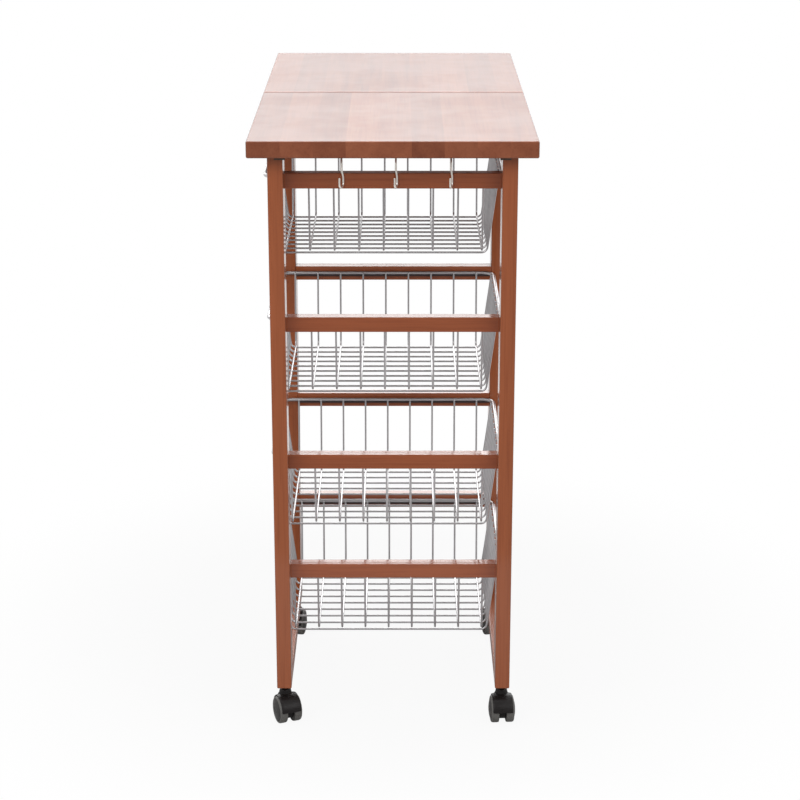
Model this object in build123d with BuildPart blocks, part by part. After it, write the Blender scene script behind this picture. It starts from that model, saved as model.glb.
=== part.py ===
from build123d import *
import math
import os

# Kitchen trolley: a slim wooden frame on four twin-wheel castors, four wire
# baskets that slide out sideways, three hooks on the top rail, and a worktop
# whose rear half is a drop leaf held up by two swinging props.
# Millimetres. The origin is on the floor under the seam between the two
# halves of the worktop: +X right, +Y to the rear (the leaf's side), +Z up.

# Worktop: two square boards with a narrow seam between them.
panel = 370.0
top_thick = 22.0
top_under = 800.0
seam = 1.0
top_bevel = 1.4

# Legs: 20 wide and 42 deep, as front and back faces of each pair.
leg_x, leg_w = 150.0, 20.0
leg_foot = 55.0
leg_bevel = 1.2
span = leg_x - leg_w / 2
ends = {"near": (-345.0, -303.0), "rear": (-49.0, -7.0)}
sides = {"left": -1, "right": 1}

# Steel plates let into the inner half of the legs' tops.
plate_t = 2.4
plate_in, plate_out = 137.0, 151.0

# Rails between the legs, one pair for each basket, and the bottom stringers.
rail_h, rail_d = 20.0, 18.0
rail_tops = (771.0, 579.0, 388.0, 230.0)
edge_bevel = 0.8
stringer_h = 16.0

# Runners: strips let into the rails' inner faces, measured from the rail's top.
runner_h = 2.0
runner_out, runner_in = 4.6, 4.0
runner_drop = 13.4

# Baskets: half sizes of the rim's centre line and of the floor, and the wires.
rim_drop = 8.5
rim_r = 2.6
rim_x, rim_y = 153.9, 123.6
rim_cut = 10.5
wire = 2.3
wall_in, wire_short = 3.55, 0.3
floor_x, floor_y = 136.0, 106.0
basket_deep = 106.0
wire_bend = 8.0
cross_pitch, cross_count = 23.1, 10
long_pitch, long_count = 32.4, 9
basket_x = (-12.2, -11.0, -8.6, -6.6)
basket_y = (ends["near"][1] + ends["rear"][0]) / 2

# Hooks: their places along the front top rail, and the wire's shape.
hook_x = (-66.0, 4.0, 75.0)
hook_wire = 2.6
hook_rise = 20.2
hook_drop = 16.8
hook_reach = 12.4
hook_twist = 3.2

# Hinges under the seam. The knuckles' ends are measured from the middle.
hinge_x = 104.0
hinge_axis = 797.0
knuckle_r, pin_r, pin_bore = 2.5, 1.2, 1.25
knuckle_end, knuckle_gap = 25.0, 9.2
knuckle_play = 0.3
flap_reach, flap_t, flap_clear = 26.0, 1.5, 1.7

# Props that carry the leaf, from their pivots to the middle of their tips.
prop_x, prop_t, prop_w = 162.7, 3.0, 12.0
pivot_y, pivot_z = -24.0, 697.0
tip_y, tip_z = 190.0, 791.6
pivot_r, pivot_bore, pivot_screw = 3.0, 3.05, 2.0
head_r, head_t, collar_t = 5.0, 1.5, 0.9

# Catches under the leaf for the props' tips.
catch_w, catch_t, catch_lip = 16.0, 1.6, 2.0
catch_front, catch_back = 12.0, 14.0

# Castors. The axle trails the king pin; widths are from the middle outwards.
wheel_r = 19.0
wheel_in, wheel_out, wheel_cap = 5.0, 15.7, 18.3
tread_t = 3.5
trail = 8.0
axle_r, axle_bore, axle_half = 2.4, 2.45, 13.4
hood_in, hood_out = 19.6, 21.2
hood_half, shoulder_half = 13.8, 11.6
hood_skirt = 2.6
web_half, web_r = 4.5, 13.6
socket_r, socket_low, socket_step, socket_top = 8.4, 28.0, 40.0, 46.6
collar_top_r, pin_top = 5.4, 47.0
stem_r, stem_top, stem_play = 4.0, 85.0, 0.05
king_r, king_bore = 3.0, 3.05
castor_turn = {"near_left": 22.0, "near_right": 4.0, "rear_left": -8.0, "rear_right": 10.0}

os.makedirs("parts", exist_ok=True)


def keep(builder, label):
    """Name a finished piece and write it."""
    builder.part.label = label
    export_step(builder.part, f"parts/{label}.step")


# Worktop: the fixed half in front of the seam and the leaf behind it.
for name, y_low, y_high in (("top_fixed", -panel, -seam / 2), ("top_leaf", seam / 2, panel)):
    with BuildPart() as board:
        with BuildSketch(Plane.XY.offset(top_under)):
            with Locations((0, (y_low + y_high) / 2)):
                Rectangle(panel, y_high - y_low)
        extrude(amount=top_thick)
        chamfer(board.edges(), top_bevel)
    keep(board, name)


# Legs: plain posts with broken edges. A step in the inner half of the top
# takes a steel plate, and a bore in the foot takes the castor's stem. The
# rear ones are bored in the outer face for the screw that a prop turns on.
for end, (y_low, y_high) in ends.items():
    middle = (y_low + y_high) / 2
    for name, side in sides.items():
        with BuildPart() as leg:
            with BuildSketch(Plane.XY.offset(leg_foot)):
                with Locations((side * leg_x, middle)):
                    Rectangle(leg_w, y_high - y_low)
            extrude(amount=top_under - leg_foot)
            chamfer(leg.edges().filter_by(Axis.Z), leg_bevel)
            chamfer(leg.faces().sort_by(Axis.Z)[0].edges(), leg_bevel)
            with BuildSketch(Plane.XY.offset(top_under)):
                with Locations((side * (span + plate_out) / 2, middle)):
                    Rectangle(plate_out - span, y_high - y_low)
            extrude(amount=-plate_t, mode=Mode.SUBTRACT)
            with BuildSketch(Plane.XY.offset(leg_foot)):
                with Locations((side * leg_x, middle)):
                    Circle(stem_r + stem_play)
            extrude(amount=stem_top - leg_foot, mode=Mode.SUBTRACT)
            if end == "rear":
                with BuildSketch(Plane.YZ.offset(side * (span + leg_w))):
                    with Locations((pivot_y, pivot_z)):
                        Circle(pivot_screw)
                extrude(amount=-side * 15, mode=Mode.SUBTRACT)
        keep(leg, f"leg_{end}_{name}")

# The four steel plates under the fixed half, one in the top of each leg.
with BuildPart() as top_plates:
    for y_low, y_high in ends.values():
        for side in sides.values():
            with BuildSketch(Plane.XY.offset(top_under)):
                with Locations((side * (plate_in + plate_out) / 2, (y_low + y_high) / 2)):
                    Rectangle(plate_out - plate_in, y_high - y_low - 1)
            extrude(amount=-plate_t)
keep(top_plates, "top_plates")


# Rails: both rails of a pair have a groove in the face that looks at the
# basket, and a flat strip let into each groove carries the basket's rim.
rail_faces = {"near": (ends["near"][1], 1), "rear": (ends["rear"][0], -1)}
for number, top in enumerate(rail_tops, start=1):
    groove_z = top - runner_drop + runner_h / 2
    for end, (face, inward) in rail_faces.items():
        with BuildPart() as rail:
            with BuildSketch(Plane.YZ.offset(-span)):
                with Locations((face - inward * rail_d / 2, top - rail_h / 2)):
                    Rectangle(rail_d, rail_h)
            extrude(amount=2 * span)
            chamfer(rail.edges().filter_by(Axis.X), edge_bevel)
            with BuildSketch(Plane.YZ.offset(-span)):
                with Locations((face - inward * runner_in / 2, groove_z)):
                    Rectangle(runner_in, runner_h)
            extrude(amount=2 * span, mode=Mode.SUBTRACT)
        keep(rail, f"rail_{end}_{number}")
    with BuildPart() as runners:
        for face, inward in rail_faces.values():
            with BuildSketch(Plane.YZ.offset(-span)):
                with Locations((face + inward * (runner_out - runner_in) / 2, groove_z)):
                    Rectangle(runner_out + runner_in, runner_h)
            extrude(amount=2 * span)
    keep(runners, f"runners_{number}")

# The two stringers tie near and rear legs together just above the castors.
stringer_low, stringer_high = ends["near"][1], ends["rear"][0]
for name, side in sides.items():
    with BuildPart() as stringer:
        with BuildSketch(Plane.XZ.offset(-stringer_low)):
            with Locations((side * leg_x, leg_foot + stringer_h / 2)):
                Rectangle(leg_w, stringer_h)
        extrude(amount=stringer_low - stringer_high)
        chamfer(stringer.edges().filter_by(Axis.Y), edge_bevel)
    keep(stringer, f"stringer_{name}")


# Baskets: every wire runs from the rim down one wall, across the floor and
# up the other wall. The long wires lie on the cross wires and are welded
# where they touch, and all ends are welded to the inside of the rim.
def wire_line(at_rim, at_floor, level):
    """One wire's line as (along, up) points: the floor and both walls, each bend cut off."""
    slope = math.atan2(rim_r - level, at_rim - at_floor)
    cut = wire_bend * math.tan(slope / 2)
    half = [
        (at_floor - cut, level),
        (at_floor + cut * math.cos(slope), level + cut * math.sin(slope)),
        (at_rim, rim_r - wire_short)]
    return [(-along, up) for along, up in reversed(half)] + half


with BuildPart() as basket:
    with BuildLine() as rim_line:
        Polyline(
            (-rim_x, 0), (-rim_x, rim_y), (rim_x, rim_y), (rim_x, -rim_y), (-rim_x, -rim_y), (-rim_x, 0))
        chamfer(rim_line.vertices().filter_by(lambda corner: abs(corner.Y) > 1), rim_cut)
    with BuildSketch(Plane(origin=(-rim_x, 0, 0), x_dir=(1, 0, 0), z_dir=(0, 1, 0))):
        RegularPolygon(rim_r, 8, major_radius=False, rotation=22.5)
    sweep(path=rim_line.wires()[0], transition=Transition.RIGHT)
    cross = wire_line(rim_x - wall_in, floor_x, -basket_deep)
    for i in range(cross_count):
        y = (i - (cross_count - 1) / 2) * cross_pitch
        with BuildLine() as cross_line:
            Polyline(*[(along, y, up) for along, up in cross])
        with BuildSketch(cross_line.wires()[0] ^ 0):
            Rectangle(wire, wire)
        sweep(path=cross_line.wires()[0], transition=Transition.RIGHT)
    long = wire_line(rim_y - wall_in, floor_y, wire - basket_deep)
    for i in range(long_count):
        x = (i - (long_count - 1) / 2) * long_pitch
        with BuildLine() as long_line:
            Polyline(*[(x, along, up) for along, up in long])
        with BuildSketch(long_line.wires()[0] ^ 0):
            Rectangle(wire, wire)
        sweep(path=long_line.wires()[0], transition=Transition.RIGHT)

# Four alike, each standing a little differently along its runners.
for number, (top, x) in enumerate(zip(rail_tops, basket_x), start=1):
    with BuildPart() as placed:
        with Locations((x, basket_y, top - rim_drop)):
            add(basket.part)
    keep(placed, f"basket_{number}")


# Hooks: one wire bent into a loop over the rail that pinches its top edges,
# a shank down the front, and a small upturned hook twisted a little sideways.
rail_middle = ends["near"][1] - rail_d / 2
grip = rail_d / 2 + hook_wire / 2 + 0.3
tip = grip + hook_reach
hook_bends = [
    (0, grip, 0.9), (0, grip, 4), (0, grip + 2.4, 9), (0, grip + 0.6, 15.5), (0, 5.5, hook_rise),
    (0, -5.5, hook_rise), (0, -grip - 0.6, 15.5), (0, -grip - 2.4, 9), (0, -grip, 4),
    (hook_twist, -grip, -4), (hook_twist, -grip, -11), (hook_twist / 2, -grip - 3.6, -hook_drop),
    (-hook_twist / 2, -tip + 3.6, -hook_drop), (-hook_twist, -tip, -11), (-hook_twist, -tip, -3)]
for number, x in enumerate(hook_x, start=1):
    with BuildPart() as hook:
        with BuildLine() as hook_line:
            Polyline(*[(x + aside, rail_middle + y, rail_tops[0] + z) for aside, y, z in hook_bends])
        with BuildSketch(hook_line.wires()[0] ^ 0):
            RegularPolygon(hook_wire / 2, 6, major_radius=False)
        sweep(path=hook_line.wires()[0], transition=Transition.RIGHT)
    keep(hook, f"hook_{number}")


# Hinges: two butt hinges let up against the undersides at the seam. The
# fixed flap has the outer knuckles, the leaf's flap the middle one.
knuckle_spans = {
    "hinge_plates_fixed": (-1, ((-knuckle_end, -knuckle_gap), (knuckle_gap, knuckle_end))),
    "hinge_plates_leaf": (1, ((knuckle_play - knuckle_gap, knuckle_gap - knuckle_play),))}
for name, (way, spans) in knuckle_spans.items():
    with BuildPart() as flaps:
        for side in sides.values():
            middle = side * hinge_x
            with BuildSketch(Plane.XY.offset(top_under)):
                with Locations((middle, way * (flap_reach + 2 * flap_clear) / 2)):
                    Rectangle(2 * knuckle_end, flap_reach - 2 * flap_clear)
                for low, high in spans:
                    with Locations((middle + (low + high) / 2, way * (flap_clear + 0.5))):
                        Rectangle(high - low, 2 * flap_clear + 1)
            extrude(amount=-flap_t)
            for low, high in spans:
                with BuildSketch(Plane.YZ.offset(middle + low)):
                    with Locations((0, hinge_axis)):
                        Circle(knuckle_r)
                    with Locations((way * knuckle_r / 2, hinge_axis + 1.9)):
                        Rectangle(knuckle_r, 2.2)
                    with Locations((0, hinge_axis)):
                        Circle(pin_bore, mode=Mode.SUBTRACT)
                extrude(amount=high - low)
    keep(flaps, name)

with BuildPart() as hinge_pins:
    for side in sides.values():
        with BuildSketch(Plane.YZ.offset(side * hinge_x - knuckle_end - 0.8)):
            with Locations((0, hinge_axis)):
                Circle(pin_r)
        extrude(amount=2 * knuckle_end + 1.6)
keep(hinge_pins, "hinge_pins")


# Props: a flat bar swings up from a shoulder screw on the outer face of
# each rear leg, and its rounded tip stops against a catch under the leaf.
prop_run = Vector(0, tip_y - pivot_y, tip_z - pivot_z)
for name, side in sides.items():
    inner = side * (prop_x - prop_t / 2)
    flat = Plane(origin=(inner, pivot_y, pivot_z), x_dir=prop_run.normalized(), z_dir=(side, 0, 0))
    with BuildPart() as prop:
        with BuildSketch(flat):
            with Locations((prop_run.length / 2, 0)):
                SlotCenterToCenter(prop_run.length, prop_w)
            Circle(pivot_bore, mode=Mode.SUBTRACT)
        extrude(amount=prop_t)
    keep(prop, f"prop_{name}")

# Shoulder screws: thread in the leg, collar, shoulder in the prop, round head.
shoulder_end = collar_t + prop_t + 0.8
screw_steps = (
    (pivot_screw, -14.0, 0.0), (head_r, 0.0, collar_t),
    (pivot_r, collar_t, shoulder_end), (head_r, shoulder_end, shoulder_end + head_t))
with BuildPart() as prop_pivots:
    for side in sides.values():
        for radius, low, high in screw_steps:
            with BuildSketch(Plane.YZ.offset(side * (span + leg_w + low))):
                with Locations((pivot_y, pivot_z)):
                    Circle(radius)
            extrude(amount=side * (high - low))
keep(prop_pivots, "prop_pivots")

# Catches under the leaf: a flat plate with a lip behind the prop's tip.
with BuildPart() as prop_catches:
    for side in sides.values():
        with BuildSketch(Plane.XY.offset(top_under)):
            with Locations((side * prop_x, tip_y + (catch_back - catch_front) / 2)):
                Rectangle(catch_w, catch_front + catch_back)
        extrude(amount=-catch_t)
        with BuildSketch(Plane.XY.offset(top_under - catch_t)):
            with Locations((side * prop_x, tip_y + catch_back - 1.8)):
                Rectangle(catch_w, 3.6)
        extrude(amount=-catch_lip)
keep(prop_catches, "prop_catches")


# Castor stems: a shank in the leg, a collar under it, and the king pin that
# the hood turns on. All four are in one node.
castor_places = {
    f"{end}_{name}": (side * leg_x, (y_low + y_high) / 2)
    for end, (y_low, y_high) in ends.items() for name, side in sides.items()}
with BuildPart() as castor_stems:
    for x, y in castor_places.values():
        for radius, low, high in (
                (king_r, socket_low, pin_top), (collar_top_r, pin_top, leg_foot), (stem_r, leg_foot, stem_top - 1)):
            with BuildSketch(Plane.XY.offset(low)):
                with Locations((x, y)):
                    Circle(radius)
            extrude(amount=high - low)
keep(castor_stems, "castor_stems")

# Castor hood: a mudguard over both wheels with rounded shoulders, a web
# between the wheels that ends in a round tongue, and a socket for the pin.
with BuildPart() as hood:
    with BuildSketch(Plane.XY.offset(socket_low)):
        Circle(socket_r)
    extrude(amount=socket_step - socket_low)
    with BuildSketch(Plane.XY.offset(socket_step)):
        Circle(socket_r)
    with BuildSketch(Plane.XY.offset(socket_top)):
        Circle(socket_r - 1.6)
    loft()
    with BuildSketch(Plane.YZ):
        with Locations((-trail, wheel_r)):
            Circle(hood_in)
    extrude(amount=hood_half, both=True, mode=Mode.SUBTRACT)
    with BuildSketch(Plane.XZ.offset(trail)):
        with BuildLine():
            Polyline(
                (-hood_half, wheel_r + hood_in), (-hood_half, wheel_r + hood_out - 1.2),
                (-shoulder_half, wheel_r + hood_out), (shoulder_half, wheel_r + hood_out),
                (hood_half, wheel_r + hood_out - 1.2), (hood_half, wheel_r + hood_in), close=True)
        make_face()
    revolve(axis=Axis((0, -trail, wheel_r), (1, 0, 0)))
    with BuildSketch(Plane.YZ):
        with Locations((-trail, wheel_r + hood_skirt)):
            Rectangle(3 * wheel_r, 2 * wheel_r, align=(Align.CENTER, Align.MAX))
    extrude(amount=hood_half, both=True, mode=Mode.SUBTRACT)
    with BuildSketch(Plane.YZ):
        with Locations((-trail, wheel_r)):
            Circle(hood_in + 0.4)
        with Locations((-trail, wheel_r + hood_skirt)):
            Rectangle(3 * wheel_r, 2 * wheel_r, align=(Align.CENTER, Align.MAX), mode=Mode.SUBTRACT)
        with Locations((-trail, wheel_r)):
            Circle(web_r)
    extrude(amount=web_half, both=True)
    with BuildSketch(Plane.XY.offset(pin_top)):
        Circle(king_bore)
    extrude(amount=socket_low - pin_top - 0.3, mode=Mode.SUBTRACT)
    with BuildSketch(Plane.YZ):
        with Locations((-trail, wheel_r)):
            Circle(axle_r)
    extrude(amount=web_half + 1, both=True, mode=Mode.SUBTRACT)

# Castor axle: a plain pin pressed through the web.
with BuildPart() as axle:
    with BuildSketch(Plane.YZ):
        with Locations((-trail, wheel_r)):
            Circle(axle_r)
    extrude(amount=axle_half, both=True)

# Castor wheel: a soft tread with a rounded shoulder, a step down to the
# domed disc inside it, and a blind bore for the axle.
rim_of_disc = wheel_r - tread_t
with BuildPart() as wheel:
    with BuildSketch(Plane.XZ.offset(trail)):
        with BuildLine():
            Polyline(
                (wheel_in, wheel_r + axle_bore), (wheel_in, 2 * wheel_r - 1.2),
                (wheel_in + 2.4, 2 * wheel_r), (wheel_out - 3.0, 2 * wheel_r),
                (wheel_out, 2 * wheel_r - 2.2), (wheel_out, wheel_r + rim_of_disc),
                (wheel_cap, wheel_r + 6.0), (wheel_cap, wheel_r),
                (axle_half + 0.4, wheel_r), (axle_half + 0.4, wheel_r + axle_bore), close=True)
        make_face()
    revolve(axis=Axis((0, -trail, wheel_r), (1, 0, 0)))

# Four castors alike, each swivelled a little differently.
for place, (x, y) in castor_places.items():
    stand = Location((x, y, 0), (0, 0, castor_turn[place]))
    with BuildPart() as castor_hood:
        with Locations(stand):
            add(hood.part)
    keep(castor_hood, f"castor_hood_{place}")
    with BuildPart() as castor_axle:
        with Locations(stand):
            add(axle.part)
    keep(castor_axle, f"castor_axle_{place}")
    with BuildPart() as wheel_right:
        with Locations(stand):
            add(wheel.part)
    keep(wheel_right, f"castor_wheel_{place}_right")
    with BuildPart() as wheel_left:
        with Locations(stand):
            add(mirror(wheel.part, Plane.YZ, mode=Mode.PRIVATE))
    keep(wheel_left, f"castor_wheel_{place}_left")
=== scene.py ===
import math

import bmesh
import bpy
import numpy as np
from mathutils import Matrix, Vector


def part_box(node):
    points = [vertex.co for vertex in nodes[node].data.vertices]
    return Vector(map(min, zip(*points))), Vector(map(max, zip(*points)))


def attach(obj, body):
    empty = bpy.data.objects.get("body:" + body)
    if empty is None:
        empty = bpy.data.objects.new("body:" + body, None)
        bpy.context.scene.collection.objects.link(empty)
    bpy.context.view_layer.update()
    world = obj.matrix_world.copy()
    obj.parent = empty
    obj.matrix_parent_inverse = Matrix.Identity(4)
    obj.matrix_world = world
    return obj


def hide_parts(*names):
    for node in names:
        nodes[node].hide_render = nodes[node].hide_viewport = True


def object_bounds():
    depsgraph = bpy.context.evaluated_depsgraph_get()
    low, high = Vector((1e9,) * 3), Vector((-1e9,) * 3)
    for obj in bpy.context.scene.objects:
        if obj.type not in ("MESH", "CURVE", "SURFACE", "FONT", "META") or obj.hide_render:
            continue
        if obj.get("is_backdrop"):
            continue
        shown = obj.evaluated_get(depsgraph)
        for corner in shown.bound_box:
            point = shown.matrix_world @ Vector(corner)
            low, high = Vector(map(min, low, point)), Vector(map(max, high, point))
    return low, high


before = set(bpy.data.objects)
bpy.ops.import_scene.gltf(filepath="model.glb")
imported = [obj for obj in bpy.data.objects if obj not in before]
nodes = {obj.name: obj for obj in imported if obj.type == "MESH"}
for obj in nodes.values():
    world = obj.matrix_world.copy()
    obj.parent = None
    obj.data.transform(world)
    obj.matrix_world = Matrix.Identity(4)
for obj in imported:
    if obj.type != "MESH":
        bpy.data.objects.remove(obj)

# The CAD model's box, kept from before anything is added.
low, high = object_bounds()
mm = 0.001


# Camera: at the photograph's place, well back and a little above the
# worktop, looking down at the middle of the trolley.
camera_data = bpy.data.cameras.new("studio_camera")
camera_data.lens = 94.8
camera_data.sensor_width = 36.0
camera = bpy.data.objects.new("studio_camera", camera_data)
camera.location = (9.3 * mm, -2985.0 * mm, 1324.7 * mm)
camera.rotation_euler = (math.radians(90 - 17.88), 0, 0)
bpy.context.scene.collection.objects.link(camera)
bpy.context.scene.camera = camera
bpy.context.scene.view_settings.view_transform = "Standard"


# Room: everything round the trolley is plain white to the camera. Polished
# things see the same white behind and above them, and a dim room in front.
def join(tree, source, target):
    """Links one socket to another."""
    tree.links.new(source, target)


def faded(tree, value, start, end, at_start, at_end):
    """A value carried smoothly from one level to another between two positions."""
    node = tree.nodes.new("ShaderNodeMapRange")
    node.interpolation_type = "SMOOTHSTEP"
    node.inputs["From Min"].default_value = start
    node.inputs["From Max"].default_value = end
    node.inputs["To Min"].default_value = at_start
    node.inputs["To Max"].default_value = at_end
    join(tree, value, node.inputs["Value"])
    return node.outputs["Result"]


dim_front, bright_back, plain_sky, white = 0.50, 3.8, 0.50, (1.0, 1.0, 1.0, 1.0)
world = bpy.data.worlds.new("studio")
bpy.context.scene.world = world
world.use_nodes = True
sky = world.node_tree
sky.nodes.clear()
sky_place = sky.nodes.new("ShaderNodeTexCoord")
sky_split = sky.nodes.new("ShaderNodeSeparateXYZ")
join(sky, sky_place.outputs["Generated"], sky_split.inputs[0])
sky_rays = sky.nodes.new("ShaderNodeLightPath")
sky_seen = sky.nodes.new("ShaderNodeBackground")
sky_mirror = sky.nodes.new("ShaderNodeBackground")
# low down behind, above a line that the worktop's shine does not reach, the
# mirrored room is brighter still
sky_band = sky.nodes.new("ShaderNodeMath")
sky_band.operation = "MULTIPLY"
join(sky, faded(sky, sky_split.outputs["Y"], 0.60, 0.85, 0.0, bright_back), sky_band.inputs[0])
join(sky, faded(sky, sky_split.outputs["Z"], 0.235, 0.275, 0.0, 1.0), sky_band.inputs[1])
sky_level = sky.nodes.new("ShaderNodeMath")
join(sky, faded(sky, sky_split.outputs["Y"], -0.75, 0.05, dim_front, 1.0), sky_level.inputs[0])
join(sky, sky_band.outputs[0], sky_level.inputs[1])
join(sky, sky_level.outputs[0], sky_mirror.inputs["Strength"])
sky_light = sky.nodes.new("ShaderNodeBackground")
sky_light.inputs["Strength"].default_value = plain_sky
for shader in (sky_seen, sky_mirror, sky_light):
    shader.inputs["Color"].default_value = white
mirror_or_light = sky.nodes.new("ShaderNodeMixShader")
seen_or_not = sky.nodes.new("ShaderNodeMixShader")
sky_out = sky.nodes.new("ShaderNodeOutputWorld")
join(sky, sky_rays.outputs["Is Glossy Ray"], mirror_or_light.inputs[0])
join(sky, sky_light.outputs[0], mirror_or_light.inputs[1])
join(sky, sky_mirror.outputs[0], mirror_or_light.inputs[2])
join(sky, sky_rays.outputs["Is Camera Ray"], seen_or_not.inputs[0])
join(sky, mirror_or_light.outputs[0], seen_or_not.inputs[1])
join(sky, sky_seen.outputs[0], seen_or_not.inputs[2])
join(sky, seen_or_not.outputs[0], sky_out.inputs["Surface"])

# the floor is a white sheet that takes the shadow; away from the trolley it
# fades into the plain white of the room
floor_corners = [(-3.0, -0.95, 0), (3.0, -0.95, 0), (3.0, 4.0, 0), (-3.0, 4.0, 0)]
floor_mesh = bpy.data.meshes.new("floor")
floor_mesh.from_pydata(floor_corners, [], [(0, 1, 2, 3)])
floor = bpy.data.objects.new("floor", floor_mesh)
bpy.context.scene.collection.objects.link(floor)
floor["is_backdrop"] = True

floor_finish = bpy.data.materials.new("white_floor")
floor_finish.use_nodes = True
paint = floor_finish.node_tree
paint.nodes.clear()
floor_matt = paint.nodes.new("ShaderNodeBsdfDiffuse")
floor_matt.inputs["Color"].default_value = (0.52, 0.52, 0.52, 1)
floor_white = paint.nodes.new("ShaderNodeEmission")
floor_place = paint.nodes.new("ShaderNodeTexCoord")
floor_reach = paint.nodes.new("ShaderNodeVectorMath")
floor_reach.operation = "LENGTH"
join(paint, floor_place.outputs["Object"], floor_reach.inputs[0])
floor_rays = paint.nodes.new("ShaderNodeLightPath")
floor_share = paint.nodes.new("ShaderNodeMath")
for rays, near_share in (("Is Camera Ray", 0.92), ("Is Glossy Ray", 0.0)):
    floor_seen = paint.nodes.new("ShaderNodeMath")
    floor_seen.operation = "MULTIPLY"
    by_reach = faded(paint, floor_reach.outputs["Value"], 0.30, 0.80, near_share, 1.0)
    join(paint, by_reach, floor_seen.inputs[0])
    join(paint, floor_rays.outputs[rays], floor_seen.inputs[1])
    join(paint, floor_seen.outputs[0], floor_share.inputs[0 if near_share else 1])
floor_mix = paint.nodes.new("ShaderNodeMixShader")
floor_out = paint.nodes.new("ShaderNodeOutputMaterial")
join(paint, floor_share.outputs[0], floor_mix.inputs[0])
join(paint, floor_matt.outputs[0], floor_mix.inputs[1])
join(paint, floor_white.outputs[0], floor_mix.inputs[2])
join(paint, floor_mix.outputs[0], floor_out.inputs["Surface"])
floor_mesh.materials.append(floor_finish)


def soft_lamp(name, place, towards, width, height, watts):
    """A rectangular soft box that faces a point."""
    data = bpy.data.lights.new(name, "AREA")
    data.shape = "RECTANGLE"
    data.size = width
    data.size_y = height
    data.energy = watts
    lamp = bpy.data.objects.new(name, data)
    lamp.location = place
    lamp.rotation_euler = (Vector(towards) - Vector(place)).to_track_quat("-Z", "Y").to_euler()
    bpy.context.scene.collection.objects.link(lamp)


soft_lamp("front_left", (-2.1, -2.9, 2.7), (0, -0.1, 0.4), 3.2, 2.0, 64)
soft_lamp("front_right", (2.3, -2.7, 2.6), (0, -0.1, 0.4), 3.2, 2.0, 51)
soft_lamp("overhead", (0, 0.2, 3.0), (0, 0, 0.5), 2.4, 2.4, 27)
soft_lamp("behind_above", (0, 3.4, 2.16), (0, 2.4, 1.84), 4.4, 0.9, 20)


# Legs: square hardwood posts with rounded edges, stained reddish brown and
# lacquered, with straight grain. A step in the top of each takes a plate.
def finish_of(name, colour, roughness, metallic=0.0, specular=0.5):
    """A Principled material; the plain values sit on the shader's own sockets."""
    made = bpy.data.materials.new(name)
    made.use_nodes = True
    shader = made.node_tree.nodes["Principled BSDF"]
    shader.inputs["Base Color"].default_value = (*colour, 1)
    shader.inputs["Roughness"].default_value = roughness
    shader.inputs["Metallic"].default_value = metallic
    shader.inputs["Specular IOR Level"].default_value = specular
    return made, made.node_tree, shader


def noise_in(tree, stretch, detail=2.0, place=None):
    """Noise on Object coordinates, as many waves to the metre on each axis as stretch says."""
    if place is None:
        place = tree.nodes.new("ShaderNodeTexCoord").outputs["Object"]
    spread = tree.nodes.new("ShaderNodeMapping")
    spread.inputs["Scale"].default_value = stretch
    noise = tree.nodes.new("ShaderNodeTexNoise")
    noise.inputs["Scale"].default_value = 1.0
    noise.inputs["Detail"].default_value = detail
    noise.inputs["Roughness"].default_value = 0.6
    join(tree, place, spread.inputs["Vector"])
    join(tree, spread.outputs["Vector"], noise.inputs["Vector"])
    return noise.outputs["Fac"]


def ramp(tree, value, stops):
    """A colour ramp through (position, colour) stops."""
    node = tree.nodes.new("ShaderNodeValToRGB")
    while len(node.color_ramp.elements) < len(stops):
        node.color_ramp.elements.new(0.5)
    for element, (position, colour) in zip(node.color_ramp.elements, stops):
        element.position = position
        element.color = (*colour, 1)
    join(tree, value, node.inputs["Fac"])
    return node.outputs["Color"]


def multiply(tree, first, second, amount):
    """The first colour times the second, by an amount."""
    node = tree.nodes.new("ShaderNodeMix")
    node.data_type = "RGBA"
    node.blend_type = "MULTIPLY"
    node.inputs[0].default_value = amount
    join(tree, first, node.inputs[6])
    join(tree, second, node.inputs[7])
    return node.outputs[2]


def raise_by(tree, shader, height, strength, depth):
    """A bump from a height value, depth in metres."""
    bump = tree.nodes.new("ShaderNodeBump")
    bump.inputs["Strength"].default_value = strength
    bump.inputs["Distance"].default_value = depth
    join(tree, height, bump.inputs["Height"])
    join(tree, bump.outputs["Normal"], shader.inputs["Normal"])


def toned(colour, *shares):
    """The same colour made darker or lighter by each share."""
    return [tuple(share * part for part in colour) for share in shares]


def grained_wood(name, along, colour, coat_roughness=0.09):
    """Stained wood under lacquer whose grain runs along one axis: 0 is X, 1 is Y, 2 is Z.
    Wide soft bands carry three tones, fine dark pores run through them, and the lacquer is
    a little duller in patches."""
    bands_at, pores_at = [34.0, 34.0, 34.0], [420.0, 420.0, 420.0]
    bands_at[along], pores_at[along] = 1.5, 9.0
    made, tree, shader = finish_of(name, colour, 0.36, specular=0.12)
    shader.inputs["Coat Weight"].default_value = 0.62
    shader.inputs["Coat Roughness"].default_value = coat_roughness
    bands = noise_in(tree, bands_at, 3.0)
    pores = noise_in(tree, pores_at, 2.0)
    banded = ramp(tree, bands, list(zip((0.30, 0.50, 0.72), toned(colour, 0.90, 1.0, 1.09))))
    streaks = ramp(tree, pores, [(0.34, (0.78, 0.70, 0.66)), (0.52, (1.0, 1.0, 1.0))])
    join(tree, multiply(tree, banded, streaks, 0.60), shader.inputs["Base Color"])
    dull = faded(tree, noise_in(tree, (9, 9, 9), 2.0), 0.35, 0.70, 0.31, 0.42)
    join(tree, dull, shader.inputs["Roughness"])
    raise_by(tree, shader, pores, 0.12, 0.0003)
    return made


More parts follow.
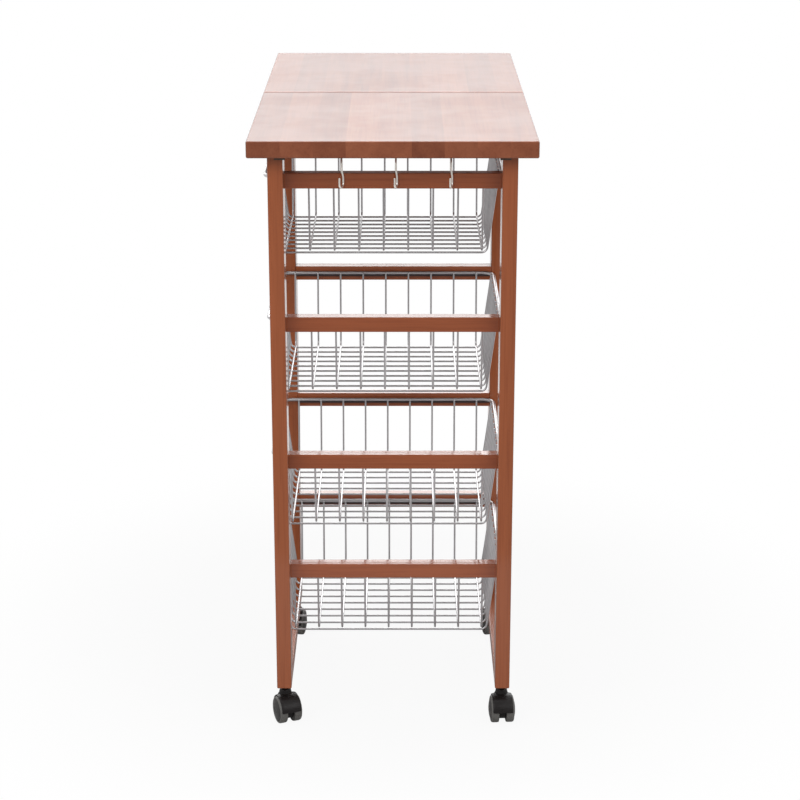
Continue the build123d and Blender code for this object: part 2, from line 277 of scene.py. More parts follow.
def rounded_outline(half_across, half_up, radius, steps):
    """Points round a rectangle whose corners are quarter circles, anticlockwise."""
    turn = np.linspace(0, math.pi / 2, steps)
    corners = []
    for quarter, (right, up) in enumerate(((1, 1), (-1, 1), (-1, -1), (1, -1))):
        angle = turn + quarter * math.pi / 2
        across = right * (half_across - radius) + radius * np.cos(angle)
        upward = up * (half_up - radius) + radius * np.sin(angle)
        corners.append(np.stack([across, upward], axis=-1))
    return np.concatenate(corners)


def bar(low, high, along, corner, edge, far_edge=None):
    """A bar between two corners: a rounded rectangle carried along one axis. Near an end
    the rectangle draws in by edge x (1 - sin t) over a length of edge x (1 - cos t), and
    each end is closed by two smaller copies of the last ring, the last one a point."""
    far_edge = edge if far_edge is None else far_edge
    low, high = np.array(low), np.array(high)
    middle, half = (low + high) / 2, (high - low) / 2
    across = [axis for axis in range(3) if axis != along]
    turn = np.linspace(0, math.pi / 2, 5)
    gaps = np.concatenate([edge * (1 - np.sin(turn)), far_edge * (1 - np.cos(turn))])
    levels = np.concatenate([
        low[along] + edge * (1 - np.cos(turn)), high[along] - far_edge * (1 - np.sin(turn))])
    rings = np.stack([
        rounded_outline(half[across[0]] - gap, half[across[1]] - gap, max(corner - gap, 0.1 * mm), 5)
        for gap in gaps])
    rings = np.concatenate([rings[:1] * 0, rings[:1] * 0.6, rings, rings[-1:] * 0.6, rings[-1:] * 0])
    levels = np.concatenate([levels[:1], levels[:1], levels, levels[-1:], levels[-1:]])
    points = np.empty((*rings.shape[:2], 3))
    points[..., across] = middle[across] + rings
    points[..., along] = levels[:, None]
    return points


crease = math.radians(38)


def piece(name, grids, material, body, *replaced, slot=None):
    """One mesh from grids of points, each an array of rings by points by xyz whose rings
    close on themselves. Rings that shrink to a point are merged, so the ends are closed."""
    vertices, faces, start = [], [], 0
    for points in grids:
        rings, count = points.shape[:2]
        index = start + np.arange(rings * count).reshape(rings, count)
        index = np.concatenate([index, index[:, :1]], axis=1)
        quads = np.stack([index[:-1, :-1], index[:-1, 1:], index[1:, 1:], index[1:, :-1]], axis=-1)
        faces.append(quads.reshape(-1, 4))
        vertices.append(points.reshape(-1, 3))
        start += rings * count
    mesh = bpy.data.meshes.new(name)
    mesh.from_pydata(np.concatenate(vertices).tolist(), [], np.concatenate(faces).tolist())
    work = bmesh.new()
    work.from_mesh(mesh)
    bmesh.ops.remove_doubles(work, verts=work.verts, dist=2e-6)
    bmesh.ops.dissolve_degenerate(work, edges=work.edges, dist=1e-7)
    bmesh.ops.recalc_face_normals(work, faces=work.faces)
    work.to_mesh(mesh)
    work.free()
    mesh.materials.append(material)
    mesh.shade_smooth()
    mesh.set_sharp_from_angle(angle=crease)
    made = bpy.data.objects.new(name, mesh)
    bpy.context.scene.collection.objects.link(made)
    even = made.modifiers.new("even_shading", "WEIGHTED_NORMAL")
    even.keep_sharp = True
    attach(made, body)
    if replaced:
        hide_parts(*replaced)
    return made


def corners_of(node):
    """The lowest and highest corners of a CAD node as arrays."""
    return tuple(np.array(corner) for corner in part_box(node))


leg_wood = grained_wood("leg_wood", 2, (0.305, 0.083, 0.0285))
plate_thick, plate_edge = 2.4 * mm, 151.0 * mm
step_inset, step_hidden = 0.03 * mm, 4.0 * mm
leg_corner, leg_top_edge = 1.6 * mm, 0.2 * mm
for end in ("near", "rear"):
    for side, way in (("left", -1), ("right", 1)):
        node = f"leg_{end}_{side}"
        low, high = corners_of(node)
        shoulder = high - (0, 0, plate_thick)
        step_low, step_high = low + step_inset, high - (step_inset, step_inset, 0)
        step_low[2] = shoulder[2] - step_hidden
        if way > 0:
            step_low[0] = plate_edge
        else:
            step_high[0] = -plate_edge
        post = bar(low, shoulder, 2, leg_corner, leg_corner, leg_top_edge)
        step = bar(step_low, step_high, 2, leg_corner, leg_top_edge)
        piece(f"{node}_post", [post, step], leg_wood, "frame", node, slot="frame_wood")


# Rails: pairs of square bars between the legs, dowelled into them, with the
# same stain and lacquer and the grain along their length.
rail_wood = grained_wood("rail_wood", 0, (0.292, 0.076, 0.0265))
rail_corner, joint_edge = 1.0 * mm, 0.1 * mm
for end in ("near", "rear"):
    for level in range(1, 5):
        node = f"rail_{end}_{level}"
        rail = bar(*corners_of(node), 0, rail_corner, joint_edge)
        piece(f"{node}_bar", [rail], rail_wood, "frame", node, slot="frame_wood")


# Stringers: lighter bars that tie the near and rear legs just above the
# castors, with a duller lacquer than the other bars.
stringer_wood = grained_wood("stringer_wood", 1, (0.285, 0.076, 0.027), coat_roughness=0.30)
stringer_corner = 1.4 * mm
for side in ("left", "right"):
    node = f"stringer_{side}"
    stringer = bar(*corners_of(node), 1, stringer_corner, joint_edge)
    piece(f"{node}_bar", [stringer], stringer_wood, "frame", node, slot="frame_wood")


# Worktop: two square boards glued up from staves, rounded along every edge,
# stained like the frame and given a slightly glossier lacquer.
stave_width = 41.5 * mm


def stave_wood(name, seed):
    """Edge-glued staves along Y. The stave's number gives it a tone, and shifts its grain
    to its own part of the noise, so that the grain breaks at each glue line."""
    made, tree, shader = finish_of(name, (0.26, 0.076, 0.032), 0.32, specular=0.12)
    shader.inputs["Coat Weight"].default_value = 0.64
    shader.inputs["Coat Roughness"].default_value = 0.08
    place = tree.nodes.new("ShaderNodeTexCoord").outputs["Object"]
    split = tree.nodes.new("ShaderNodeSeparateXYZ")
    join(tree, place, split.inputs[0])
    count = tree.nodes.new("ShaderNodeMath")
    count.operation = "MULTIPLY_ADD"
    count.inputs[1].default_value = 1 / stave_width
    count.inputs[2].default_value = seed
    join(tree, split.outputs["X"], count.inputs[0])
    number = tree.nodes.new("ShaderNodeMath")
    number.operation = "FLOOR"
    join(tree, count.outputs[0], number.inputs[0])
    chance = tree.nodes.new("ShaderNodeTexWhiteNoise")
    chance.noise_dimensions = "1D"
    join(tree, number.outputs[0], chance.inputs["W"])
    own = tree.nodes.new("ShaderNodeVectorMath")
    own.operation = "MULTIPLY_ADD"
    own.inputs[1].default_value = (0.0, 3.0, 7.0)
    join(tree, chance.outputs["Color"], own.inputs[0])
    join(tree, place, own.inputs[2])
    bands = noise_in(tree, (40.0, 2.4, 40.0), 3.0, own.outputs[0])
    pores = noise_in(tree, (420.0, 10.0, 420.0), 2.0, own.outputs[0])
    colour = ramp(tree, bands, [
        (0.30, (0.215, 0.058, 0.023)), (0.52, (0.260, 0.076, 0.032)), (0.75, (0.300, 0.097, 0.043))])
    tones = ramp(tree, chance.outputs["Value"], [
        (0.0, (0.72, 0.66, 0.62)), (0.5, (0.88, 0.85, 0.83)), (1.0, (1.0, 1.0, 1.0))])
    streaks = ramp(tree, pores, [(0.34, (0.76, 0.70, 0.66)), (0.52, (1.0, 1.0, 1.0))])
    join(tree, multiply(tree, multiply(tree, colour, tones, 0.9), streaks, 0.5), shader.inputs["Base Color"])
    dull = faded(tree, noise_in(tree, (7, 7, 7), 3.0), 0.35, 0.70, 0.29, 0.40)
    join(tree, dull, shader.inputs["Roughness"])
    raise_by(tree, shader, noise_in(tree, (16.0, 1.6, 16.0), 0.0, own.outputs[0]), 0.05, 0.0005)
    return made


# the edges that meet at the seam are eased a little more than the others: near
# the top they draw back as the square of the height within the edge
top_corner, top_edge = 2.6 * mm, 2.2 * mm
eased, seam_reach = 2.4 * mm, 6.0 * mm
for node, body, seed in (("top_fixed", "frame", 3.42), ("top_leaf", "leaf", 41.42)):
    board = bar(*corners_of(node), 2, top_corner, top_edge)
    top = board[..., 2].max()
    at_seam = np.abs(board[..., 1]) < seam_reach
    share = np.clip((board[..., 2] - top) / top_edge + 1, 0, 1) ** 2 * at_seam
    board[..., 1] += np.sign(board[..., 1]) * eased * share
    staves = stave_wood(f"{node}_staves", seed)
    piece(f"{node}_board", [board], staves, body, node, slot="worktop_wood")


# Runners: dark strips let into the rails, on which the baskets' rims slide.
runner_finish, tree, shader = finish_of("runner_plastic", (0.030, 0.012, 0.012), 0.38)
runner_marks = noise_in(tree, (30, 500, 500))
join(tree, ramp(tree, runner_marks, [(0.35, (0.022, 0.008, 0.008)), (0.65, (0.040, 0.017, 0.016))]),
     shader.inputs["Base Color"])
raise_by(tree, shader, runner_marks, 0.08, 0.0002)
strip_width = 8.6 * mm
strip_corner, strip_edge = 0.4 * mm, 0.3 * mm
for level in range(1, 5):
    node = f"runners_{level}"
    low, high = corners_of(node)
    near_high, rear_low = high.copy(), low.copy()
    near_high[1], rear_low[1] = low[1] + strip_width, high[1] - strip_width
    strips = [bar(*corners, 0, strip_corner, strip_edge) for corners in ((low, near_high), (rear_low, high))]
    piece(f"{node}_strips", strips, runner_finish, "frame", node, slot="runner_strip")


# Plates: blackened steel let into the tops of the legs, screwed up into the
# fixed half of the worktop.
def dress(node, material):
    """Gives a carried-over CAD node a finished material."""
    slots = nodes[node].data.materials
    slots.clear()
    slots.append(material)


plate_finish, tree, shader = finish_of("blackened_plate", (0.06, 0.045, 0.036), 0.42, 0.8)
plate_marks = noise_in(tree, (90, 90, 90), 4.0)
join(tree, ramp(tree, plate_marks, [(0.3, (0.035, 0.024, 0.018)), (0.7, (0.10, 0.080, 0.066))]),
     shader.inputs["Base Color"])
raise_by(tree, shader, plate_marks, 0.08, 0.0002)
dress("top_plates", plate_finish)

# each plate's outer end is turned down a little over the leg's face
lip_deep, lip_thick, plate_in = 6.6 * mm, 1.2 * mm, 137.0 * mm
lips = []
for end, way in (("near", -1), ("rear", 1)):
    low, high = corners_of(f"leg_{end}_left")
    face = low[1] if way < 0 else high[1]
    for side in (-1, 1):
        inner, outer = sorted((side * plate_in, side * plate_edge))
        near, far = sorted((face - way * 0.1 * mm, face + way * lip_thick))
        lip_low, lip_high = (inner, near, high[2] - lip_deep), (outer, far, high[2] - 0.1 * mm)
        lips.append(bar(lip_low, lip_high, 0, 0.5 * mm, 0.3 * mm))
piece("top_plates_lips", lips, plate_finish, "frame", slot="plate_steel")


# Baskets: steel wire, bent, spot-welded and bright plated. The rim is the
# thick wire, and the long wires lie on the cross wires.
def tube(path, radius, sides, closed=False):
    """A round wire along a path: rings of points across the path at the given radius. The
    rings' directions come from one fixed direction, turned square to the path at each
    point. An open wire's ends are closed by half spheres."""
    path = np.asarray(path, float)
    radii = np.full(len(path), radius)
    if closed:
        along = np.roll(path, -1, axis=0) - np.roll(path, 1, axis=0)
    else:
        first, last = path[0] - path[1], path[-1] - path[-2]
        first, last = first / np.linalg.norm(first), last / np.linalg.norm(last)
        turn = np.linspace(0.35, math.pi / 2, 4)
        reach = radius * np.sin(turn)[:, None]
        path = np.concatenate([(path[0] + first * reach)[::-1], path, path[-1] + last * reach])
        radii = np.concatenate([(radius * np.cos(turn))[::-1], radii, radius * np.cos(turn)])
        along = np.gradient(path, axis=0)
    along = along / np.linalg.norm(along, axis=1)[:, None]
    spread = np.linalg.svd(path - path.mean(axis=0))[2][2]
    across = spread - along * (along @ spread)[:, None]
    across = across / np.linalg.norm(across, axis=1)[:, None]
    other = np.cross(along, across)
    angle = np.arange(sides) * 2 * math.pi / sides
    rings = path[:, None] + radii[:, None, None] * (
        np.cos(angle)[None, :, None] * across[:, None] + np.sin(angle)[None, :, None] * other[:, None])
    return np.concatenate([rings, rings[:1]]) if closed else rings


def bent(points, radius, steps=6):
    """A run of straight lines whose corners are cut by arcs. An arc's points are its
    chord's points pushed out to the radius from the arc's centre."""
    points = np.asarray(points, float)
    line = [points[:1]]
    for before, corner, after in zip(points[:-2], points[1:-1], points[2:]):
        back, ahead = before - corner, after - corner
        reach = 0.45 * min(np.linalg.norm(back), np.linalg.norm(ahead))
        back, ahead = back / np.linalg.norm(back), ahead / np.linalg.norm(ahead)
        half = math.acos(np.clip(back @ ahead, -1, 1)) / 2
        bend = min(radius, reach * math.tan(half))
        inward = (back + ahead) / np.linalg.norm(back + ahead)
        centre = corner + inward * bend / math.sin(half)
        start, end = corner + back * bend / math.tan(half), corner + ahead * bend / math.tan(half)
        chord = start + (end - start) * np.linspace(0, 1, steps)[:, None] - centre
        line.append(centre + chord / np.linalg.norm(chord, axis=1)[:, None] * bend)
    line.append(points[-1:])
    return np.concatenate(line)


rim_radius, wire_radius = 2.6 * mm, 1.3 * mm
cross_wires, cross_pitch = 10, 23.1 * mm
long_wires, long_pitch = 9, 32.4 * mm
wall_in, wire_bend = 3.75 * mm, 8.0 * mm
floor_half = (136.0 * mm, 106.0 * mm)

wire_finish, tree, shader = finish_of("bright_wire", (0.46, 0.45, 0.46), 0.30, 1.0)
shader.inputs["Coat Weight"].default_value = 0.5
shader.inputs["Coat Roughness"].default_value = 0.12
wire_marks = noise_in(tree, (22, 22, 22), 2.0)
join(tree, ramp(tree, wire_marks, [(0.35, (0.43, 0.42, 0.43)), (0.65, (0.49, 0.48, 0.49))]),
     shader.inputs["Base Color"])
join(tree, faded(tree, wire_marks, 0.35, 0.65, 0.36, 0.29), shader.inputs["Roughness"])
raise_by(tree, shader, noise_in(tree, (60, 60, 60)), 0.03, 0.0001)

for level in range(1, 5):
    node = f"basket_{level}"
    low, high = corners_of(node)
    middle, half = (low + high) / 2, (high - low) / 2 - rim_radius
    rim_z, floor_z = high[2] - rim_radius, low[2] + wire_radius
    rim_path = rounded_outline(half[0], half[1], 15.0 * mm, 9) + middle[:2]
    rim_path = np.column_stack([rim_path, np.full(len(rim_path), rim_z)])
    grids = [tube(rim_path, rim_radius, 14, closed=True)]
    for i in range(cross_wires):
        y = middle[1] + (i - (cross_wires - 1) / 2) * cross_pitch
        top, foot = half[0] - wall_in, floor_half[0]
        ends = np.array([(-top, y, rim_z), (-foot, y, floor_z), (foot, y, floor_z), (top, y, rim_z)])
        grids.append(tube(bent(ends + (middle[0], 0, 0), wire_bend), wire_radius, 10))
    for i in range(long_wires):
        x = middle[0] + (i - (long_wires - 1) / 2) * long_pitch
        top, foot, z = half[1] - wall_in, floor_half[1], floor_z + 1.9 * wire_radius
        ends = np.array([(x, -top, rim_z), (x, -foot, z), (x, foot, z), (x, top, rim_z)])
        grids.append(tube(bent(ends + (0, middle[1], 0), wire_bend), wire_radius, 10))
    piece(f"{node}_wires", grids, wire_finish, node, node, slot="basket_wire")


# Hooks: polished wire bent over the front rail, pinched at its top edges,
# with a small upturned end that is twisted a little sideways.
hook_finish, tree, shader = finish_of("polished_hook", (0.94, 0.90, 0.84), 0.29, 0.85)
hook_marks = noise_in(tree, (160, 160, 160))
join(tree, ramp(tree, hook_marks, [(0.3, (0.90, 0.86, 0.80)), (0.7, (0.96, 0.93, 0.87))]),
     shader.inputs["Base Color"])
raise_by(tree, shader, hook_marks, 0.04, 0.0002)

rail_low, rail_high = corners_of("rail_near_1")
over_rail = np.array([0, (rail_low[1] + rail_high[1]) / 2, rail_high[2]])
grip, tip, rise = 10.6, 23.0, 20.4
for number, twist in ((1, 2.3), (2, 1.45), (3, 1.4)):
    node = f"hook_{number}"
    low, high = corners_of(node)
    place = over_rail + ((low[0] + high[0]) / 2, 0, 0)
    bends = np.array([
        (0, grip, 1.2), (0, grip, 4.5), (0, grip + 2.6, 9.5), (0, grip + 1.2, 16.5), (0, 0, rise + 2.2),
        (0, -grip - 1.2, 16.5), (0, -grip - 2.6, 9.5), (0, -grip, 4.5), (twist, -grip, -4),
        (twist, -grip, -13.0), (twist / 2, -grip - 2.6, -16.8), (-twist / 2, -tip + 2.6, -16.8),
        (-twist, -tip, -13.0), (-twist, -tip, -4.2)])
    piece(f"{node}_wire", [tube(bent(place + bends * mm, 6.0 * mm), 1.3 * mm, 12)],
          hook_finish, node, node, slot="hook_wire")


# Hinges: two butt hinges under the seam, zinc-plated, with their knuckles
# rolled round a pin and three screws in each flap.
def lathe(profile, steps=32):
    """A turned shape about the local Z axis: (radius, height) points carried round it."""
    profile = np.asarray(profile, float)
    angle = np.arange(steps) * 2 * math.pi / steps
    return np.stack([
        profile[:, :1] * np.cos(angle), profile[:, :1] * np.sin(angle),
        np.broadcast_to(profile[:, 1:], (len(profile), steps))], axis=-1)


def stood(points, place, up):
    """Points turned so that the local Z axis looks along up, and moved to a place."""
    turn = np.array(Vector(up).to_track_quat("Z", "Y").to_matrix())
    return points @ turn.T + np.asarray(place)


def screw_head(radius, rise):
    """A low domed head with a cross slot, closed underneath. Its height falls as the square
    of the distance from the middle, less the slot's depth inside the cross."""
    share = np.array([0.0, 0.12, 0.2, 0.28, 0.36, 0.46, 0.58, 0.64, 0.8, 0.92, 1.0])
    grid = lathe(np.column_stack([share * radius, np.zeros(len(share))]), 48)
    x, y = np.abs(grid[..., 0]) / radius, np.abs(grid[..., 1]) / radius
    slot = np.clip((0.17 - np.minimum(x, y)) / 0.08, 0, 1) * np.clip((0.62 - np.maximum(x, y)) / 0.08, 0, 1)
    grid[..., 2] = rise * (1 - 0.75 * share[:, None] ** 2) - slot * 0.9 * rise
    under = lathe([(radius, -0.4 * rise), (0, -0.4 * rise)], 48)
    return np.concatenate([grid, under])


def plated_steel(name, dark, light, along):
    """Plated steel, brushed along one axis."""
    stretch = [700.0, 700.0, 700.0]
    stretch[along] = 14.0
    made, tree, shader = finish_of(name, light, 0.34, 1.0)
    brushed = noise_in(tree, stretch, 3.0)
    join(tree, ramp(tree, brushed, [(0.3, dark), (0.7, light)]), shader.inputs["Base Color"])
    dull = faded(tree, noise_in(tree, (45, 45, 45), 3.0), 0.3, 0.7, 0.29, 0.43)
    join(tree, dull, shader.inputs["Roughness"])
    raise_by(tree, shader, brushed, 0.06, 0.0001)
    return made


hinge_finish = plated_steel("hinge_plating", (0.44, 0.43, 0.41), (0.58, 0.57, 0.55), 0)
hinge_axis = 797.0 * mm
under_top = 800.0 * mm
flap_near, flap_far, flap_thick = 2.9 * mm, 26.0 * mm, 1.5 * mm
knuckle_radius, pin_radius = 2.5 * mm, 1.2 * mm
hinge_middles = (-104.0 * mm, 104.0 * mm)
knuckle_spans = {-1: ((-25.0, -9.2), (9.2, 25.0)), 1: ((-8.9, 8.9),)}
along_x = (1, 0, 0)
for node, body, way in (("hinge_plates_fixed", "frame", -1), ("hinge_plates_leaf", "leaf", 1)):
    grids, screws = [], []
    for middle in hinge_middles:
        near, far = sorted((way * flap_near, way * flap_far))
        flap_low = (middle - 25 * mm, near, under_top - flap_thick)
        flap_high = (middle + 25 * mm, far, under_top)
        grids.append(bar(flap_low, flap_high, 2, 2.0 * mm, 0.3 * mm))
        for start, end in knuckle_spans[way]:
            start, end = start * mm, end * mm
            inside, lip, length = pin_radius + 0.05 * mm, 0.2 * mm, end - start
            ring = [(inside, 0), (knuckle_radius - lip, 0), (knuckle_radius, lip),
                    (knuckle_radius, length - lip), (knuckle_radius - lip, length),
                    (inside, length), (inside, 0)]
            grids.append(stood(lathe(ring), (middle + start, 0, hinge_axis), along_x))
            near, far = sorted((0.0, way * (flap_near + 0.2 * mm)))
            neck_low = (middle + start, near, under_top - 1.7 * mm)
            neck_high = (middle + end, far, under_top - 0.1 * mm)
            grids.append(bar(neck_low, neck_high, 0, 0.3 * mm, 0.1 * mm))
        for x, y in ((-17, 11), (0, 20), (17, 11)):
            place = (middle + x * mm, way * y * mm, under_top - flap_thick)
            screws.append(stood(screw_head(3.4 * mm, 0.5 * mm), place, (0, 0, -1)))
    piece(f"{node}_flaps", grids, hinge_finish, body, node, slot="hinge_steel")
    piece(f"{node}_screws", screws, hinge_finish, body, slot="hinge_steel")

pin_length, pin_end = 51.6 * mm, 0.3 * mm
pin_profile = [(0, 0), (pin_radius - pin_end, 0), (pin_radius, pin_end), (pin_radius, pin_length - pin_end),
               (pin_radius - pin_end, pin_length), (0, pin_length)]
pins = [stood(lathe(pin_profile, 20), (middle - pin_length / 2, 0, hinge_axis), along_x)
        for middle in hinge_middles]
piece("hinge_pins_turned", pins, hinge_finish, "frame", "hinge_pins", slot="hinge_steel")


# Props: flat steel bars with round ends that swing on shoulder screws in
# the rear legs, and catches under the leaf for their tips.
prop_finish = plated_steel("prop_plating", (0.40, 0.39, 0.38), (0.54, 0.53, 0.52), 1)


def strap(length, width, thick, edge, bore):
    """A flat bar with half-round ends about two centres and a hole round the first. Its
    outline is two half circles and, between them, points on the straight sides that lie at
    even angles from the hole; the hole's points lie at the same angles as the outline's."""
    half = width / 2
    arc, side = np.linspace(-math.pi / 2, math.pi / 2, 17), np.radians([15, 30, 45, 60, 75])
    angle = np.concatenate([arc, np.full(5, math.pi / 2), arc + math.pi, np.full(5, -math.pi / 2)])
    centre = np.concatenate([
        np.full(17, length), half / np.tan(side), np.zeros(17), half / np.tan(side[::-1])])
    turn = np.linspace(0, math.pi / 2, 4)
    gaps = edge * np.concatenate([1 - np.sin(turn), 1 - np.cos(turn)])
    levels = np.concatenate([edge * (1 - np.cos(turn)), thick - edge * (1 - np.sin(turn))])
    reach = (half - gaps)[:, None]
    x, y = centre + reach * np.cos(angle), reach * np.sin(angle)
    toward = np.arctan2(half * np.sin(angle), centre + half * np.cos(angle))
    hole_x, hole_y = bore * np.cos(toward)[None], bore * np.sin(toward)[None]
    x, y = np.concatenate([hole_x, x, hole_x, hole_x]), np.concatenate([hole_y, y, hole_y, hole_y])
    levels = np.concatenate([levels[:1], levels, levels[-1:], levels[:1]])
    return np.stack([x, y, np.broadcast_to(levels[:, None], x.shape)], axis=-1)


pivot = np.array((0, -24.0, 697.0)) * mm
prop_tip = np.array((0, 190.0, 791.6)) * mm
prop_length = np.linalg.norm(prop_tip - pivot)
run = (prop_tip - pivot) / prop_length
leg_face, prop_face, prop_thick = 160.0 * mm, 161.2 * mm, 3.0 * mm
pivot_profile = np.array([
    (0, -14), (2.0, -13), (2.0, 0), (4.8, 0), (5.0, 0.2), (5.0, 0.7), (4.8, 0.9), (3.0, 0.9),
    (3.0, 4.7), (4.7, 4.7), (5.0, 5.0), (0, 5.0)]) * mm
screws = []
for side, way in (("left", -1), ("right", 1)):
    outward = np.array((way, 0, 0))
    axes = np.array([run, np.cross(outward, run), outward])
    points = strap(prop_length, 12.0 * mm, prop_thick, 0.6 * mm, 3.05 * mm)
    points = points @ axes + pivot + outward * prop_face
    piece(f"prop_{side}_bar", [points], prop_finish, f"prop_{side}", f"prop_{side}", slot="prop_steel")
    screws.append(stood(lathe(pivot_profile), pivot + outward * leg_face, outward))
    screws.append(stood(screw_head(5.0 * mm, 1.1 * mm), pivot + outward * (leg_face + 5.05 * mm), outward))
piece("prop_pivots_screws", screws, prop_finish, "frame", "prop_pivots", slot="prop_steel")

catches = []
catch_half, catch_thick, catch_far = 8 * mm, 1.6 * mm, 14 * mm
for x in (-162.7 * mm, 162.7 * mm):
    y = prop_tip[1]
    plate_low = (x - catch_half, y - 12 * mm, under_top - catch_thick)
    plate_high = (x + catch_half, y + catch_far, under_top)
    catches.append(bar(plate_low, plate_high, 2, 1.5 * mm, 0.3 * mm))
    stop_low = (x - catch_half, y + 10.4 * mm, under_top - 3.6 * mm)
    stop_high = (x + catch_half, y + catch_far, under_top - 1 * mm)
    catches.append(bar(stop_low, stop_high, 2, 1.0 * mm, 0.4 * mm))
    for sideways in (-5.2 * mm, 5.2 * mm):
        place = (x + sideways, y - 7 * mm, under_top - catch_thick)
        catches.append(stood(screw_head(2.2 * mm, 0.5 * mm), place, (0, 0, -1)))
piece("prop_catches_plates", catches, prop_finish, "leaf", "prop_catches", slot="prop_steel")


# Screws: flush steel heads in the legs' outer faces, one for each rail's end.
screw_finish = plated_steel("screw_plating", (0.34, 0.33, 0.32), (0.48, 0.47, 0.45), 2)
heads = []
for end in ("near", "rear"):
    for level in range(1, 5):
        low, high = corners_of(f"rail_{end}_{level}")
        middle = (low + high) / 2
        for way in (-1, 1):
            place = (way * (leg_face - 0.2 * mm), middle[1], middle[2])
            heads.append(stood(screw_head(3.6 * mm, 0.45 * mm), place, (way, 0, 0)))
piece("rail_screws", heads, screw_finish, "frame", slot="prop_steel")


# Castor stems: dark steel pins that push up into the legs, with a collar
# between the leg and the moulded hood.
wheel_radius, trail = 19.0 * mm, 8.0 * mm
castor_turn = {"near_left": 22.0, "near_right": 4.0, "rear_left": -8.0, "rear_right": 10.0}
castor_place = {}
for place_name in castor_turn:
    low, high = corners_of(f"leg_{place_name}")
    castor_place[place_name] = (low + high) / 2 * (1, 1, 0)

stem_finish, tree, shader = finish_of("dark_stem", (0.020, 0.012, 0.013), 0.30, 0.5)
stem_marks = noise_in(tree, (80, 80, 1200))
join(tree, ramp(tree, stem_marks, [(0.35, (0.014, 0.009, 0.010)), (0.65, (0.032, 0.022, 0.022))]),
     shader.inputs["Base Color"])
raise_by(tree, shader, stem_marks, 0.1, 0.0001)
stem_profile = np.array([
    (0, 28), (2.7, 28), (3.0, 28.4), (3.0, 47), (5.0, 47), (5.4, 47.4), (5.4, 50.6), (4.9, 51.0),
    (4.9, 51.6), (5.4, 52.0), (5.4, 54.6), (5.0, 55), (4.0, 55), (4.0, 83), (3.0, 84), (0, 84)]) * mm
piece("castor_stems_turned", [lathe(stem_profile) + place for place in castor_place.values()],
      stem_finish, "frame", "castor_stems", slot="castor_steel")


# Castors: a satin black moulded hood over two wheels, each a dark domed
# disc inside a grey tread, on an axle through the hood's web.
hood_finish, tree, shader = finish_of("black_moulding", (0.010, 0.008, 0.008), 0.40, specular=0.20)
raise_by(tree, shader, noise_in(tree, (1400, 1400, 1400)), 0.05, 0.0001)
join(tree, faded(tree, noise_in(tree, (60, 60, 60), 3.0), 0.3, 0.7, 0.33, 0.45), shader.inputs["Roughness"])
disc_finish, tree, shader = finish_of("wheel_disc", (0.026, 0.024, 0.023), 0.36, specular=0.35)
raise_by(tree, shader, noise_in(tree, (1100, 1100, 1100)), 0.05, 0.0001)
join(tree, faded(tree, noise_in(tree, (70, 70, 70), 3.0), 0.3, 0.7, 0.28, 0.42), shader.inputs["Roughness"])
tread_finish, tree, shader = finish_of("grey_tread", (0.105, 0.100, 0.094), 0.55)
tread_marks = noise_in(tree, (260, 260, 260), 4.0)
join(tree, ramp(tree, tread_marks, [(0.3, (0.085, 0.081, 0.076)), (0.7, (0.125, 0.120, 0.113))]),
     shader.inputs["Base Color"])
raise_by(tree, shader, tread_marks, 0.12, 0.0002)

axle_z, arc_in = 19.0, 19.6


def hood_shell():
    """The mudguard: a closed section across the wheels, carried round the axle from the
    front skirt to the rear one. It thins to nothing at both skirts, which closes them."""
    across = np.array([-13.9, -13.6, -12.6, -10.5, -5.0, 0, 5.0, 10.5, 12.6, 13.6, 13.9])
    over = np.array([20.2, 20.8, 21.2, 21.5, 21.7, 21.8, 21.7, 21.5, 21.2, 20.8, 20.2])
    width = np.concatenate([across, across[::-1]])
    radius = np.concatenate([over, np.full(11, arc_in)])
    turn = np.concatenate([[6.6, 6.8, 7.4], np.linspace(8.6, 171.4, 45), [172.6, 173.2, 173.4]])
    turn = np.radians(turn)[:, None]
    draw = np.concatenate([[0.0, 0.5, 0.85], np.ones(45), [0.85, 0.5, 0.0]])[:, None]
    thin = np.concatenate([over, over[::-1]]) / 2 + arc_in / 2
    out = thin + (radius - thin) * draw
    return np.stack([
        width * (0.95 + 0.05 * draw), out * np.cos(turn) - trail / mm, out * np.sin(turn) + axle_z],
        axis=-1) * mm


def hood_web():
    """The wall between the wheels: a round tongue low down that widens to the mudguard's
    arc above, as one outline pulled in at both faces, which rounds their edges."""
    angle = np.arange(72) * 2 * math.pi / 72
    reach = 13.6 + 6.6 * np.clip(np.sin(angle) * 2.2, 0, 1) ** 1.5
    turn = np.linspace(0, math.pi / 2, 4)
    gaps = 0.8 * np.concatenate([1 - np.sin(turn), 1 - np.cos(turn)])
    levels = np.concatenate([-4.5 + 0.8 * (1 - np.cos(turn)), 4.5 - 0.8 * (1 - np.sin(turn))])
    radii = np.concatenate([reach[None] * 0, reach - gaps[:, None], reach[None] * 0])
    levels = np.concatenate([levels[:1], levels, levels[-1:]])[:, None]
    return np.stack([np.broadcast_to(levels, radii.shape), radii * np.cos(angle) - trail / mm,
                     radii * np.sin(angle) + axle_z], axis=-1) * mm


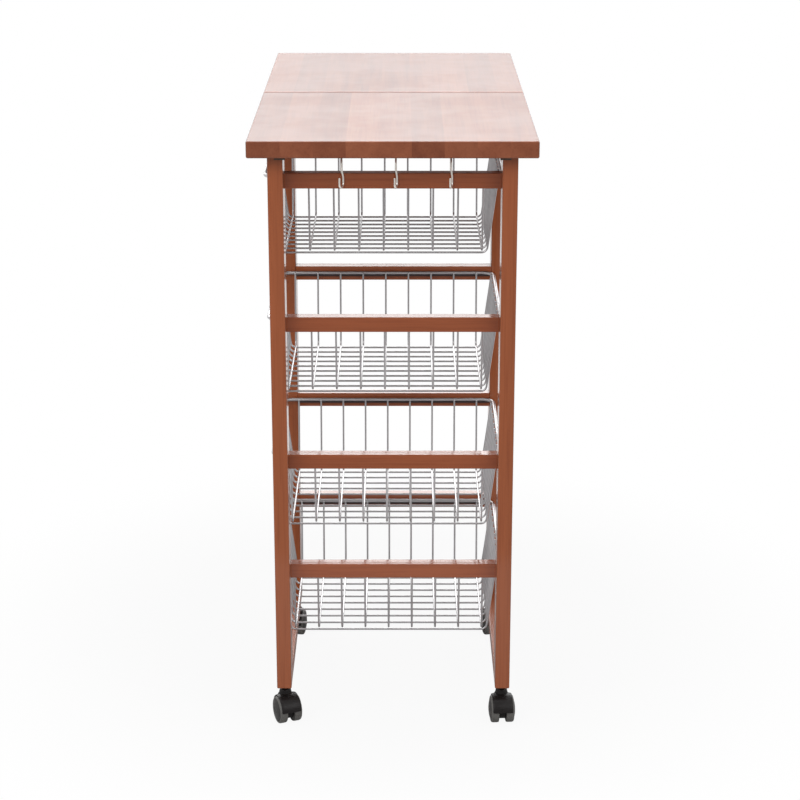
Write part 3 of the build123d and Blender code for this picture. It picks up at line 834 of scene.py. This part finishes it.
# the socket flares into the hood and leaves room for the collar above it
socket_profile = np.array([
    (3.05, 36), (10.4, 36), (10.4, 37.8), (9.3, 39.0), (8.7, 40.6), (8.2, 43.0), (7.8, 45.2),
    (7.3, 46.2), (6.6, 46.6), (3.05, 46.6), (3.05, 36)]) * mm
tread_profile = np.array([
    (12.0, 5.0), (17.6, 5.0), (18.5, 5.3), (18.9, 6.2), (19.0, 8.0), (19.0, 12.6), (18.8, 14.0),
    (18.2, 15.1), (17.2, 15.7), (16.2, 15.9), (15.7, 15.5), (15.4, 14.8), (12.0, 14.8), (12.0, 5.0)]) * mm
disc_profile = np.array([
    (2.45, 5.4), (15.5, 5.4), (15.5, 15.2), (15.2, 15.8), (14.6, 16.1), (12.0, 16.9), (9.0, 17.6),
    (6.0, 18.0), (4.4, 18.05), (4.1, 17.7), (3.8, 17.65), (1.9, 18.1), (0, 18.25), (0, 13.8),
    (2.45, 13.8), (2.45, 5.4)]) * mm
axle_profile = np.array([(0, -13.4), (2.1, -13.4), (2.4, -13.1), (2.4, 13.1), (2.1, 13.4), (0, 13.4)]) * mm
hub = np.array((0, -trail, wheel_radius))

for place_name, place in castor_place.items():
    angle = math.radians(castor_turn[place_name])
    cosine, sine = math.cos(angle), math.sin(angle)
    swivel = np.array([(cosine, sine, 0), (-sine, cosine, 0), (0, 0, 1)])
    castor = f"castor_{place_name}"
    hood_node, axle_node = f"castor_hood_{place_name}", f"castor_axle_{place_name}"
    hood = [grid @ swivel + place for grid in (hood_shell(), hood_web(), lathe(socket_profile, 40))]
    piece(f"{hood_node}_moulding", hood, hood_finish, castor, hood_node, slot="castor_plastic")
    axle = stood(lathe(axle_profile, 24), hub, along_x) @ swivel + place
    piece(f"{axle_node}_pin", [axle], stem_finish, castor, axle_node, slot="castor_steel")
    for side, way in (("left", -1), ("right", 1)):
        wheel = f"castor_wheel_{place_name}_{side}"
        body = f"wheel_{place_name}_{side}"
        tread = stood(lathe(tread_profile, 56), hub, (way, 0, 0)) @ swivel + place
        disc = stood(lathe(disc_profile, 56), hub, (way, 0, 0)) @ swivel + place
        piece(f"{wheel}_tread", [tread], tread_finish, body, wheel, slot="castor_tread")
        piece(f"{wheel}_disc", [disc], disc_finish, body, slot="castor_plastic")


# The box of the finished model.
low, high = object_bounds()
